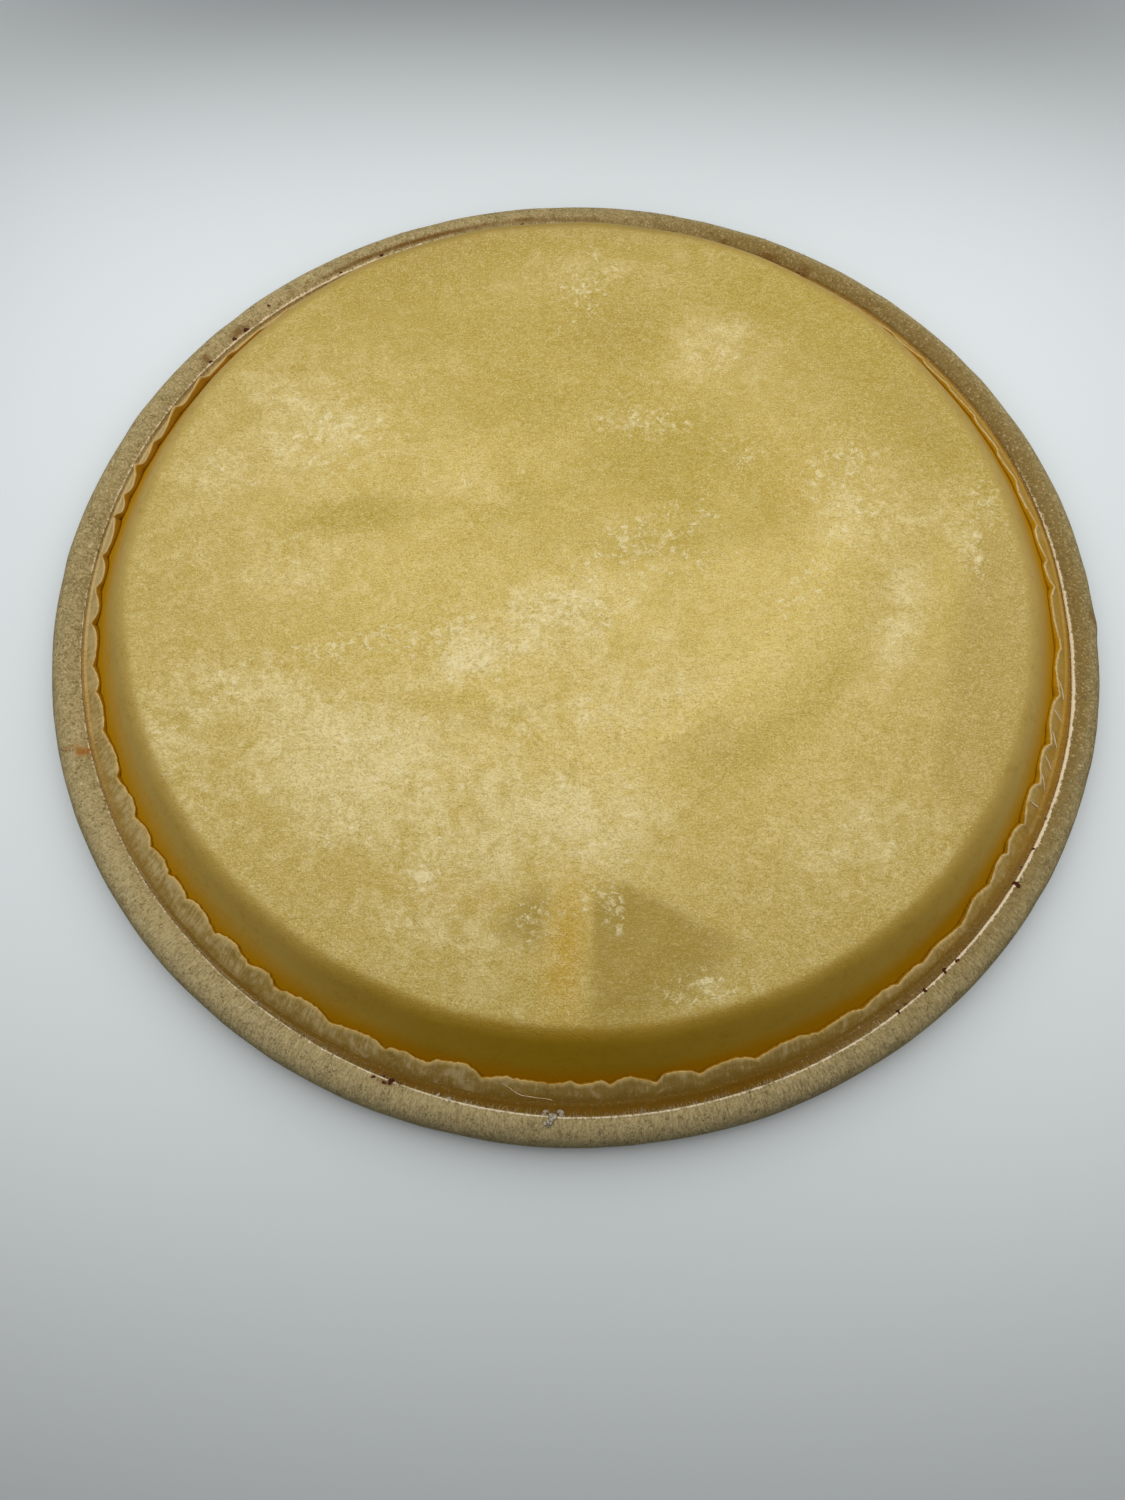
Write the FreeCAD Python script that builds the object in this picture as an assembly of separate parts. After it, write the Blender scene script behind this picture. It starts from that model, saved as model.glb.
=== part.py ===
import FreeCAD, Part
import os
from math import asin, atan2, cos, degrees, hypot, pi, radians, sin, tan

# Rawhide drum head with its playing side up, in millimetres.
# The origin is on the drum's axis, in the plane that the wrapped hoop rests on.

# The drum shell that the head is made for, and the hide
shell_edge_d = 276.0     # across the crest of the shell's rounded edge, an 11 inch drum
edge_round_r = 5.5       # rounding of that edge, which the inside of the hide has taken on
head_height = 24.0       # playing face above the plane that the hoop rests on
hide_t = 1.5             # thickness of the dried hide

# The flesh hoop, a round rod bent to a ring and butt-welded
rod_d = 8.0
hoop_reach = 21.2        # from the shell's edge out to the rod's centre line
weld_length = 6.0        # along the hoop
weld_proud = 0.2         # height of the bead over the rod
weld_angle = 358.0       # where the ends meet, in degrees about the axis

# How the hide lies round the hoop
wrap_clearance = 0.3     # between rod and hide, which also takes the weld bead
fold_r = 0.5             # inside bend of the crease between hoop and tail
tail_clearance = 0.2     # between the tail and the collar behind it

# The tail's trimmed edge: round lobes between narrow notches
tail_length = 7.2        # from the crease up to the tips of the lobes
tail_sway = 0.8          # longer by this at the front, shorter at the back
notch_depth = 2.4        # of the deepest notches
lobe_height_share = 0.24     # height of a narrow lobe over its width
lobe_width_share = 0.9       # part of the pitch that a lobe takes, the rest is notch
cut_overrun = 1.0        # cutters run past the hide by this
same_point = 1e-6        # closer points than this are one
notch_angles = [         # in degrees about the axis, with the front at 270
    2.0, 5.7, 10.8, 17.4, 22.5, 28.2, 34.0, 38.7, 44.0, 49.8, 54.1, 59.6,
    65.2, 69.3, 75.0, 80.2, 86.1, 91.0, 96.6, 100.8, 106.5, 112.3, 117.0, 122.9,
    127.4, 133.0, 138.2, 143.6, 148.5, 153.9, 159.6, 163.5, 167.7, 170.7, 176.4, 180.6,
    185.4, 191.0, 194.7, 199.8, 206.2, 215.4, 219.3, 222.9, 228.3, 233.4, 237.3, 243.6,
    251.4, 255.9, 261.3, 267.6, 271.2, 274.5, 279.3, 284.1, 289.8, 297.6, 302.6, 307.2,
    311.4, 317.4, 322.2, 326.8, 331.2, 336.0, 341.1, 347.4, 354.0,
]

# Sizes that follow from those above
shell_edge_r = shell_edge_d / 2
rod_r = rod_d / 2
wrap_in_r = rod_r + wrap_clearance
wrap_out_r = wrap_in_r + hide_t
hoop_r = shell_edge_r + hoop_reach
inner_face_z = head_height - hide_t

# The collar's slope: its inner face starts at the shell's edge and runs straight into the wrap under the rod
drop = inner_face_z - wrap_out_r
slope = atan2(drop, hoop_reach) + asin(wrap_out_r / hypot(drop, hoop_reach))
up_collar = FreeCAD.Vector(-cos(slope), 0, sin(slope))
off_collar = FreeCAD.Vector(sin(slope), 0, cos(slope))

# Where the wrap leaves the hoop, so that the tail then stands along the collar
crease_reach = wrap_out_r + fold_r
tail_standoff = fold_r + hide_t + tail_clearance
crease_angle = pi - asin((tail_standoff - wrap_in_r) / crease_reach) - slope

axis_foot = FreeCAD.Vector(0, 0, 0)
axis_up = FreeCAD.Vector(0, 0, 1)


def spoke(angle):
    """Unit vector in the section plane, at an angle up from the outward direction."""
    return FreeCAD.Vector(cos(angle), 0, sin(angle))


def section_face(stops):
    """Face inside an outline. A stop is a corner, or a round bend as (centre, radius, start, end)."""
    edges = []
    runs = []
    for stop in stops:
        if isinstance(stop, tuple):
            centre, radius, start, end = stop
            bend = [centre + spoke(a) * radius for a in (start, (start + end) / 2, end)]
            runs.append((bend[0], Part.Arc(*bend).toShape(), bend[2]))
        else:
            runs.append((stop, None, stop))
    for (first, bend, last), (following, _, _) in zip(runs, runs[1:] + runs[:1]):
        if bend:
            edges.append(bend)
        if not last.isEqual(following, same_point):
            edges.append(Part.LineSegment(last, following).toShape())
    return Part.Face(Part.Wire(edges))


def hide_bends():
    """The hide's three bends in order: centre, start, end, radius on the face that meets the rod, on the other."""
    half_pi = pi / 2
    toward_collar = -half_pi - slope
    shoulder = FreeCAD.Vector(shell_edge_r - edge_round_r * tan(slope / 2), 0, inner_face_z - edge_round_r)
    hoop = FreeCAD.Vector(hoop_r, 0, wrap_out_r)
    crease = hoop + spoke(crease_angle) * crease_reach
    return [
        (shoulder, half_pi, half_pi - slope, edge_round_r + hide_t, edge_round_r),
        (hoop, toward_collar, crease_angle, wrap_in_r, wrap_out_r),
        (crease, crease_angle - pi, toward_collar, fold_r + hide_t, fold_r),
    ]


def lobes():
    """Every lobe of the tail's edge: its two notch angles, the height of its tip, its own height and width."""
    tail_r = hide_bends()[-1][0].x
    found = []
    for left, right in zip(notch_angles, notch_angles[1:] + [notch_angles[0] + 360]):
        width = tail_r * radians(right - left)
        height = min(notch_depth, lobe_height_share * width)
        tip = tail_length - tail_sway * sin(radians((left + right) / 2))
        found.append((left, right, tip, height, width))
    return found


def notch_cutter(left, right, tip, height, width):
    """What the knife takes off above one lobe: a short ring of waste with the lobe's round tip left out of it."""
    crease = hide_bends()[-1][0]
    behind = crease - off_collar * (fold_r + hide_t + tail_clearance / 2)
    deep = off_collar * (hide_t + tail_clearance / 2 + cut_overrun)
    low = behind + up_collar * (tip - height)
    high = behind + up_collar * (tail_length + tail_sway + 2 * cut_overrun)
    waste = section_face([low, low + deep, high + deep, high]).revolve(axis_foot, axis_up, right - left)
    round_r = ((lobe_width_share * width / 2) ** 2 + height ** 2) / (2 * height)
    centre = behind + up_collar * (tip - round_r) - off_collar * cut_overrun
    lobe = Part.makeCylinder(round_r, deep.Length + 2 * cut_overrun, centre, off_collar)
    lobe.rotate(axis_foot, axis_up, (right - left) / 2)
    cutter = waste.cut(lobe)
    cutter.rotate(axis_foot, axis_up, left)
    return cutter


def rawhide_skin():
    """The one hide: membrane, shoulder, collar, wrap round the hoop, crease and tail, with the tail trimmed."""
    bends = hide_bends()
    crease = bends[-1][0]
    tail_end = crease + up_collar * (tail_length + tail_sway + cut_overrun)
    rod_side = [(c, rod_face_r, start, end) for c, start, end, rod_face_r, _ in bends]
    other_side = [(c, other_r, end, start) for c, start, end, _, other_r in reversed(bends)]
    membrane_top = FreeCAD.Vector(0, 0, head_height)
    membrane_under = FreeCAD.Vector(0, 0, inner_face_z)
    tail_corners = [tail_end - off_collar * (fold_r + hide_t), tail_end - off_collar * fold_r]
    section = section_face([membrane_top] + rod_side + tail_corners + other_side + [membrane_under])
    blank = section.revolve(axis_foot, axis_up, 360)
    return blank.cut([notch_cutter(*lobe) for lobe in lobes()])


def flesh_hoop():
    """The steel hoop: a ring of round rod, with the bead of its one butt weld."""
    centre = FreeCAD.Vector(hoop_r, 0, wrap_out_r)
    tangent = FreeCAD.Vector(0, 1, 0)
    ring = Part.makeTorus(hoop_r, rod_r, FreeCAD.Vector(0, 0, wrap_out_r))
    bead_face = Part.Face(Part.Wire(Part.makeCircle(rod_r + weld_proud, centre, tangent)))
    bead_turn = degrees(weld_length / hoop_r)
    bead = bead_face.revolve(axis_foot, axis_up, bead_turn)
    bead.rotate(axis_foot, axis_up, weld_angle - bead_turn / 2)
    return ring.fuse(bead)


os.makedirs("parts", exist_ok=True)
for node, shape in {"rawhide_skin": rawhide_skin(), "flesh_hoop": flesh_hoop()}.items():
    print(node, "solids", len(shape.Solids), "valid", shape.isValid(), "volume", round(shape.Volume), shape.BoundBox)
    shape.Solids[0].exportStep(f"parts/{node}.step")
print("collar slope", round(degrees(slope), 2), "crease at", round(degrees(crease_angle), 2))
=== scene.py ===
import bpy
import numpy as np
from mathutils import Matrix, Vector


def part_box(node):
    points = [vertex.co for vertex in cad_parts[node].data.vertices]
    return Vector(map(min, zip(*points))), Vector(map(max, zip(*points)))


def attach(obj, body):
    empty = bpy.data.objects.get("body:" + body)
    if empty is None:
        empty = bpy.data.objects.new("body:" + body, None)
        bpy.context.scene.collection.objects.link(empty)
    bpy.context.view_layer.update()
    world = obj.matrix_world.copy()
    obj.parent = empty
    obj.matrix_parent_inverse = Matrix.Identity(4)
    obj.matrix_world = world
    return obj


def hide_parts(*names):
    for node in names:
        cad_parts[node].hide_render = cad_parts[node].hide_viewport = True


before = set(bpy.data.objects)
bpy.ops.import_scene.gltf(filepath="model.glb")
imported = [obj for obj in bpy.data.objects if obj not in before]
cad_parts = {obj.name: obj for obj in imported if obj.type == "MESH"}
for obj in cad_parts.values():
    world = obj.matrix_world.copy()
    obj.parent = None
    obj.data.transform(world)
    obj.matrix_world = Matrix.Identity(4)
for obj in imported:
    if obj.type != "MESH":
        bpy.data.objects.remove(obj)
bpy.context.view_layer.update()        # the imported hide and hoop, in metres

mm = 0.001
tau = 2 * np.pi
upward = np.array([0, 0, 1.0])


# Surface tools

def putMesh(name, points, faces, masks, smooth=True):
    # points (n, 3), faces as index arrays of equal sides, masks with a number or a vector for each point
    mesh = bpy.data.meshes.new(name)
    loops = np.concatenate([f.ravel() for f in faces])
    sides = np.concatenate([np.full(len(f), f.shape[1]) for f in faces])
    starts = np.concatenate([[0], np.cumsum(sides)[:-1]])
    mesh.vertices.add(len(points))
    mesh.vertices.foreach_set("co", np.asarray(points, np.float32).ravel())
    mesh.loops.add(len(loops))
    mesh.loops.foreach_set("vertex_index", loops.astype(np.int32))
    mesh.polygons.add(len(sides))
    mesh.polygons.foreach_set("loop_start", starts.astype(np.int32))
    mesh.polygons.foreach_set("loop_total", sides.astype(np.int32))
    mesh.polygons.foreach_set("use_smooth", np.full(len(sides), smooth))
    mesh.update(calc_edges=True)
    mesh.validate()
    for key, values in masks.items():
        vector = values.shape[-1] == 3
        layer = mesh.attributes.new(key, "FLOAT_VECTOR" if vector else "FLOAT", "POINT")
        layer.data.foreach_set("vector" if vector else "value", np.asarray(values, np.float32).ravel())
    piece = bpy.data.objects.new(name, mesh)
    bpy.context.scene.collection.objects.link(piece)
    return piece


def ringFaces(rows, cols, closedRows):
    # quads between neighbouring rows of a grid whose columns run round and meet, seen from outside
    i = np.arange(rows if closedRows else rows - 1)[:, None]
    j = np.arange(cols)[None, :]
    nextRow = (i + 1) % rows
    nextCol = (j + 1) % cols
    corners = [i * cols + j, nextRow * cols + j, nextRow * cols + nextCol, i * cols + nextCol]
    return np.stack([np.broadcast_to(c, (len(i), cols)).ravel() for c in corners], 1)


def arcRun(centre, radius, start, end, count):
    # points of a circle about centre, from one angle to another, both ends in
    a = np.linspace(start, end, count)
    return np.stack([centre[0] + radius * np.cos(a), centre[1] + radius * np.sin(a)], 1)


def lineRun(first, last, count):
    # points evenly spaced on a straight run, both ends in
    return np.asarray(first) + np.linspace(0, 1, count)[:, None] * (np.asarray(last) - np.asarray(first))


def ringNoise(theta, lowest, highest, seed):
    # smooth closed noise of about -1 to 1: a sum of waves, each a whole number of times round the axis
    rng = np.random.default_rng(seed)
    k = np.arange(lowest, highest + 1)
    phase = rng.uniform(0, tau, len(k))
    size = rng.normal(0, 1, len(k)) / np.sqrt(k)
    waves = size * np.cos(np.asarray(theta)[..., None] * k + phase)
    return waves.sum(-1) / np.sqrt((size ** 2).sum() / 2) / 2


def bell(distance, width):
    # 1 at no distance, falling off as a bell of that half width
    return np.exp(-(distance / width) ** 2)


def ease(x, low, high):
    # 0 below low, 1 above high, smooth between
    t = np.clip((x - low) / (high - low), 0, 1)
    return t * t * (3 - 2 * t)


def evenTurn(count):
    # that many angles, evenly round a full turn
    return np.arange(count) / count * tau


def turnGap(theta, degreesAt):
    # signed angle from a place on the rim, in radians
    return (theta - np.radians(degreesAt) + np.pi) % tau - np.pi


# The hide's section: the sizes are those of the solid, in metres

hide = {
    "shellEdge": 0.138,        # radius of the crest of the drum shell's rounded edge
    "edgeRound": 0.0055,
    "thick": 0.0015,
    "rod": 0.004,
    "hoopReach": 0.0212,       # from the shell's edge out to the rod's centre line
    "wrapClearance": 0.0003,
    "creaseBend": 0.0005,
    "tailClearance": 0.0002,
    "height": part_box("rawhide_skin")[1].z,
    "bowHeights": (0.008, 0.020),  # the shoulder's bow fades in between these
    # how far the shoulder has dried outside a true circle, in mm by degrees round the axis
    "edgeBow": [
        (0, 0.4), (12, 0.0), (25, 0.1), (40, 0.7), (60, 1.6), (75, 2.1), (95, 2.5), (120, 2.4),
        (140, 1.3), (150, 0.5), (159, 0.2), (167, -0.2), (185, 0.1), (196, -0.9), (207, -2.1),
        (225, -2.2), (240, -1.8), (270, -0.7), (295, 0.1), (315, 0.6), (360, 0.4),
    ],
}


def hideSection(h):
    # the collar's inner face runs from the shell's edge straight into the wrap under the rod, which
    # gives its slope, and the wrap leaves the hoop where the tail then stands along the collar
    wrapIn = h["rod"] + h["wrapClearance"]
    wrapOut = wrapIn + h["thick"]
    under = h["height"] - h["thick"]
    drop = under - wrapOut
    slope = np.arctan2(drop, h["hoopReach"]) + np.arcsin(wrapOut / np.hypot(drop, h["hoopReach"]))
    creaseReach = wrapOut + h["creaseBend"]
    standoff = h["creaseBend"] + h["thick"] + h["tailClearance"]
    creaseAngle = np.pi - np.arcsin((standoff - wrapIn) / creaseReach) - slope
    hoop = np.array([h["shellEdge"] + h["hoopReach"], wrapOut])
    return {
        "slope": slope,
        "upCollar": np.array([-np.cos(slope), np.sin(slope)]),
        "offCollar": np.array([np.sin(slope), np.cos(slope)]),
        "footAngle": -np.pi / 2 - slope,
        "wrapIn": wrapIn,
        "wrapOut": wrapOut,
        "creaseAngle": creaseAngle,
        "hoop": hoop,
        "crease": hoop + creaseReach * np.array([np.cos(creaseAngle), np.sin(creaseAngle)]),
        "shoulder": np.array([h["shellEdge"] - h["edgeRound"] * np.tan(slope / 2), under - h["edgeRound"]]),
    }


section = hideSection(hide)


def readRound(theta, table):
    # a value given at a few places round the axis, joined by straight lines
    return np.interp(np.degrees(theta) % 360, *np.array(table).T)


def roundMasks(theta, p, keys, shape):
    # values given round the axis, the same on every row of a grid
    return {key: np.broadcast_to(readRound(theta, p[key]), shape) for key in keys}


def ringPlace(radius, theta, along):
    # a point on a plain ring, with the distance along the section as its height, for patterns to follow
    return np.stack(np.broadcast_arrays(radius * np.cos(theta), radius * np.sin(theta), along), -1)


def axesAt(theta):
    # unit vectors away from the axis and round it
    outward = np.stack([np.cos(theta), np.sin(theta), 0 * theta], -1)
    around = np.stack([-np.sin(theta), np.cos(theta), 0 * theta], -1)
    return outward, around


def turnSection(r, z, theta):
    # points of a section's grid carried round the axis
    return np.stack([r * np.cos(theta), r * np.sin(theta), z], -1).reshape(-1, 3)


def tailPlace(sec, along, off):
    # radius and height of a place so far up the tail from the crease and so far off the collar
    return [sec["crease"][i] + sec["upCollar"][i] * along + sec["offCollar"][i] * off for i in (0, 1)]


def bowAt(theta, z, h):
    # how far the hide stands outside a true circle: full at the shoulder, none at the hoop
    return readRound(theta, h["edgeBow"]) * mm * ease(z, *h["bowHeights"])


# Playing face: membrane, shoulder and collar, with the underside

playingFace = {
    "around": 720,
    "membraneRings": 48,
    "shoulderRings": 12,
    "collarRings": 14,
    "collarInRings": 6,
    "shoulderInRings": 7,
    "underRings": 14,
    "bowRadii": (0.105, 0.133),        # the shoulder's bow fades in between these
    "wave": 0.00015,                   # slow dips of the membrane
    "waveRadii": (0.115, 0.136),       # they fade out between these
    "waveHeights": (0.018, 0.0215),    # and in between these
    "shoulderWander": 0.0003,          # small unevenness of the shoulder
    "wanderHeights": (0.012, 0.018),   # it fades in between these
    "edgeReach": 0.03,                 # how far inside the shoulder the collar's mask begins
    # soft ovals on the face: x, y, half length, half width in mm, turn in degrees, strength
    # the pale ovals across the front of the face are partly painted light
    "pale": [
        (-80, 47, 32, 20, 25, 0.5), (6, 120, 20, 9, 0, 0.5), (44, 88, 20, 12, 25, 0.7),
        (-85, 2, 30, 16, 10, 0.4), (-117, 28, 12, 18, 0, 0.4), (-38, 31, 24, 8, 10, 0.4),
        (84, 25, 14, 16, 60, 0.6), (-5, -13, 26, 12, 15, 1.0), (-31, -29, 17, 10, 10, 0.9),
        (-66, -60, 40, 16, -8, 0.85), (-2, -78, 32, 15, -5, 0.95), (-21, -50, 22, 9, 15, 0.7),
        (-60, -76, 24, 11, -10, 0.9), (-30, -90, 24, 9, -5, 0.7), (-104, -76, 18, 14, -40, 0.5),
        (78, -86, 32, 14, 20, 0.5), (-88, -42, 28, 10, -5, 0.6), (-35, -108, 26, 10, -15, 0.6),
        (118, 22, 9, 14, 10, 0.6), (36, -126, 14, 6, 20, 0.5), (97, -12, 8, 26, -14, 0.8),
        (20, 57, 20, 7, -8, 0.3), (20, -42, 34, 16, 30, 0.55), (-96, 66, 14, 12, 0, 0.5),
        (-116, -50, 10, 18, 0, 0.4),
    ],
    "ray": [
        (30, -51, 22, 4.5, 38, 1.0), (58, -23, 24, 4.5, 54, 1.0), (77, 10, 18, 6, 60, 0.9),
        (112, 0, 30, 5, 74, 0.5),
    ],
    # the olive ovals laid along the far rim are partly painted shade
    "olive": [
        (26, 44, 38, 22, 10, 0.95), (12, 95, 18, 18, 30, 1.0), (52, 106, 20, 9, -20, 1.0),
        (24, 12, 36, 9, 8, 0.6), (-24, -48, 28, 5, 18, 0.5), (-71, 19, 26, 9, 10, 0.95),
        (118, -25, 12, 46, 0, 0.5), (48, -58, 28, 8, 40, 0.6), (76, -32, 30, 9, 55, 0.6),
        (95, 2, 18, 8, 62, 0.5), (72, 112, 36, 10, 151, 0.9), (104, 88, 32, 10, 130, 0.9),
        (-48, 124, 36, 10, 200, 0.8), (-40, 94, 50, 22, 10, 0.5), (-12, 24, 40, 12, 15, 0.4),
        (-20, 70, 44, 30, 0, 0.6), (84, 88, 34, 18, -40, 0.8), (0, 128, 70, 8, 0, 0.6),
        (-64, 110, 36, 12, 28, 0.8), (40, -75, 36, 16, 20, 0.3), (110, 60, 30, 14, 120, 0.9),
        (60, 26, 12, 18, 0, 0.6), (0, 62, 40, 14, 5, 0.5), (-52, -46, 24, 6, 14, 0.5),
        (112, 62, 22, 12, 120, 0.6),
    ],
    "amber": [(-0.5, -115, 5.5, 20, -4, 0.9), (-38, -100, 16, 5, -5, 0.3), (70, 34, 12, 22, 10, 0.2)],
    "fleck": [
        (-5, -13, 12, 6, 20, 0.9), (-31, -29, 9, 6, 10, 1.0), (17, 11, 9, 6, 0, 0.8),
        (-10, -107, 5, 5, 0, 0.8), (10, -102, 5, 6, 30, 0.9), (35, -126, 7, 4, 20, 0.8),
        (17, 58, 13, 5, -8, 0.8), (85, 45, 7, 5, 0, 1.0), (38, 23, 9, 4, 10, 0.6),
        (129, 28, 4, 7, 20, 0.8), (121, 13, 4, 8, 10, 0.9), (29, 4, 20, 4, 10, 0.5),
        (-40, -96, 3.6, 3, 0, 1.7), (70, -2, 18, 5, 50, 0.6), (-60, -25, 34, 4, 12, 0.7),
        (52, 48, 8, 6, 0, 0.5), (-78, 46, 18, 12, 20, 0.4), (0, 112, 8, 14, 0, 0.6),
        (82, 36, 9, 9, 0, 0.7), (18, 12, 22, 5, 15, 0.6),
    ],
    # how pale the collar is, a painted sheen, by degrees round the axis: clear and dark at the front,
    # partly painted shade
    "collarSheenSide": [
        (0, 1.0), (35, 0.95), (60, 0.85), (95, 0.78), (135, 0.82), (152, 0.95), (175, 0.95), (190, 0.8),
        (215, 0.6), (235, 0.5), (255, 0.1), (270, 0.0), (285, 0.1), (305, 0.3), (320, 0.45),
        (340, 0.85), (360, 1.0),
    ],
    # darker fans: apex x, y in mm, two sides in degrees, each with its blur, reach in mm, strength
    "fan": [(7, -92, -91, 5, -27, 5, 52, 0.87), (-4, -92, -132, 9, -98, 9, 28, 0.8)],
    # the dusky fans are partly painted shade that darkens the face's right side
    "dusk": [(100, -75, -60, 25, 75.5, 2, 118, 0.6), (16, -64, 8, 16, 40, 2, 40, 0.4)],
    # ovals of painted shade towards the far edge, in the form of those above
    "farShade": [
        (-46, 128, 32, 9, 200, 0.7), (112, 62, 22, 9, 118, 0.5), (-66, 112, 24, 9, 212, 0.4),
        (12, 96, 16, 12, 30, 0.35), (4, 138, 50, 6, 0, 0.8),
    ],
}


def patchSum(x, y, patches):
    # union of soft ovals: one less the product of what each leaves
    left = np.ones_like(x)
    for px, py, long, wide, turn, strength in patches:
        c, s = np.cos(np.radians(turn)), np.sin(np.radians(turn))
        along = ((x - px * mm) * c + (y - py * mm) * s) / (long * mm)
        across = ((y - py * mm) * c - (x - px * mm) * s) / (wide * mm)
        left *= 1 - strength * np.exp(-(along ** 2 + across ** 2))
    return 1 - left


def fanSum(x, y, fans):
    # union of wedges that open from an apex, blurred at their sides and fading in and out along them
    left = np.ones_like(x)
    for px, py, first, firstBlur, last, lastBlur, reach, strength in fans:
        dx, dy = x / mm - px, y / mm - py
        angle = np.degrees(np.arctan2(dy, dx))
        far = np.hypot(dx, dy)
        inside = ease(angle, first - firstBlur, first + firstBlur)
        inside = inside * ease(-angle, -last - lastBlur, -last + lastBlur)
        left *= 1 - strength * inside * ease(far, 2, 14) * ease(-far, -reach, -0.7 * reach)
    return 1 - left


def membraneDip(x, y):
    # two crossing slow waves, a shorter one and a fine ripple, less their highest sum, so never above 0
    slow = np.sin(31 * x + 17 * y + 0.6) + np.sin(-23 * x + 41 * y + 2.1)
    slow = slow + 0.6 * np.sin(67 * x - 52 * y + 4.0)
    fine = 0.35 * np.sin(140 * x + 60 * y) * np.sin(-75 * x + 160 * y + 1.0)
    return slow + fine - 2.95


def buildPlayingFace(p, h, sec):
    # a section line from the pole down the outside of the collar and back up its inside, carried round
    # the axis, bowed off the true circle at the shoulder and dipped by slow waves that fade out there
    side = sec["slope"]
    half = np.pi / 2
    foot = np.array([np.cos(sec["footAngle"]), np.sin(sec["footAngle"])])
    membrane = lineRun((0, h["height"]), (sec["shoulder"][0], h["height"]), p["membraneRings"] + 1)[1:-1]
    shoulder = arcRun(sec["shoulder"], h["edgeRound"] + h["thick"], half, half - side, p["shoulderRings"])
    collar = lineRun(shoulder[-1], sec["hoop"] + sec["wrapIn"] * foot, p["collarRings"])[1:]
    shoulderIn = arcRun(sec["shoulder"], h["edgeRound"], half - side, half, p["shoulderInRings"])
    collarIn = lineRun(sec["hoop"] + sec["wrapOut"] * foot, shoulderIn[0], p["collarInRings"])[:-1]
    floorIn = lineRun(shoulderIn[-1], (0, h["height"] - h["thick"]), p["underRings"])[1:-1]
    line = np.concatenate([membrane, shoulder, collar, collarIn, shoulderIn, floorIn])
    topCount = len(membrane) + len(shoulder) + len(collar)
    inside = np.zeros(len(line))
    inside[topCount:] = 1
    theta = evenTurn(p["around"])
    r = line[:, :1] + 0 * theta
    z = line[:, 1:] + 0 * theta
    wander = p["shoulderWander"] * ringNoise(theta, 4, 30, 5) * ease(z, *p["wanderHeights"])
    r = r + ease(r, *p["bowRadii"]) * (bowAt(theta, z, h) + wander)
    x, y = r * np.cos(theta), r * np.sin(theta)
    onFace = (1 - ease(r, *p["waveRadii"])) * ease(z, *p["waveHeights"])
    z = z + p["wave"] * membraneDip(x, y) * onFace
    points = np.stack([x, y, z], -1).reshape(-1, 3)
    poles = np.array([[0, 0, h["height"]], [0, 0, h["height"] - h["thick"]]])
    poles[:, 2] += p["wave"] * membraneDip(0, 0)
    rows, cols = r.shape
    quads = ringFaces(rows, cols, False)
    j = np.arange(cols)
    nextJ = (j + 1) % cols
    topPole, underPole = rows * cols, rows * cols + 1
    topFan = np.stack([np.full(cols, topPole), j, nextJ], 1)
    lastRow = (rows - 1) * cols
    underFan = np.stack([lastRow + j, np.full(cols, underPole), lastRow + nextJ], 1)
    allX = np.append(x.ravel(), [0, 0])
    allY = np.append(y.ravel(), [0, 0])
    step = np.hypot(np.diff(line[:, 0]), np.diff(line[:, 1]))
    run = np.concatenate([[0], np.cumsum(step)]) - (sec["shoulder"][0] - line[0, 0])
    down = np.where(inside > 0, 0, np.maximum(run, -p["edgeReach"])) / run[topCount - 1]
    masks = {
        **{key: patchSum(allX, allY, p[key]) for key in ("pale", "olive", "amber", "ray", "fleck", "farShade")},
        **{key: fanSum(allX, allY, p[key]) for key in ("fan", "dusk")},
        "down": np.append(np.repeat(down, cols), [-1, 0]),
        "inside": np.append(np.repeat(inside, cols), [0, 1]),
        "collarSheenSide": np.append(np.tile(readRound(theta, p["collarSheenSide"]), rows), [0, 0]),
    }
    return putMesh("playing_face", np.concatenate([points, poles]), [quads, topFan, underFan], masks)


# Hoop roll: the hide round the hoop, with the worn line that a crown has pressed into it

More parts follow.
